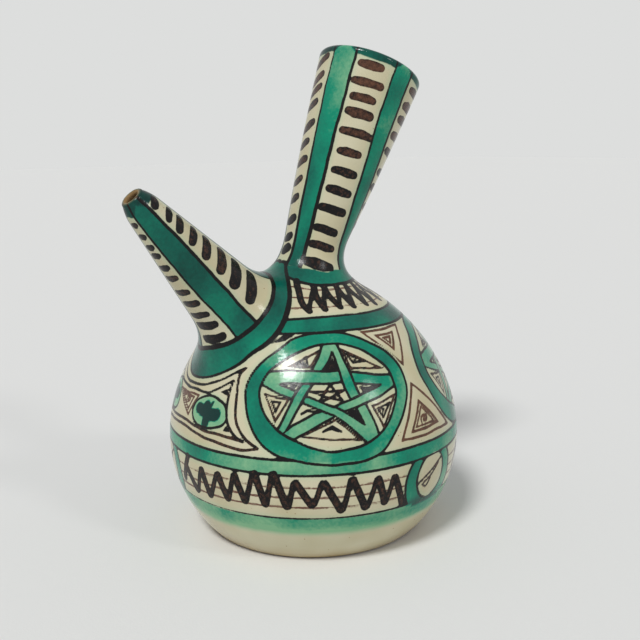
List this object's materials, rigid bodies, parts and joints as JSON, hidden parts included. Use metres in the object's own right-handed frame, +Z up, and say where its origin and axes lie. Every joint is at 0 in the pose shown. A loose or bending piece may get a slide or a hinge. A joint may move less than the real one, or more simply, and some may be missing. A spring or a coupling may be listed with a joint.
{
  "type": "clay water jug",
  "caption": "Round glazed earthenware jug with a flared neck that leans back for filling and holding, and a conical spout that pours a thin stream of water.",
  "frame": {"origin": "middle of the flat face that the jug rests on, on the axis of the thrown body", "axes": "+Z up, spout towards -X, neck leaning towards +X, mirror plane XZ with its normal along Y"},
  "size_m": [0.1583, 0.134, 0.2173],
  "materials": {
    "glazed_clay": "glossy cream tin glaze painted in green and dark brown, over tan clay",
    "green_glaze": "glossy copper-green glaze over tan clay"
  },
  "bodies": {
    "root": {"body": "glazed_clay", "neck": "glazed_clay", "spout": "glazed_clay", "neck_collar": "green_glaze", "spout_collar": "green_glaze"}
  },
  "joints": []
}
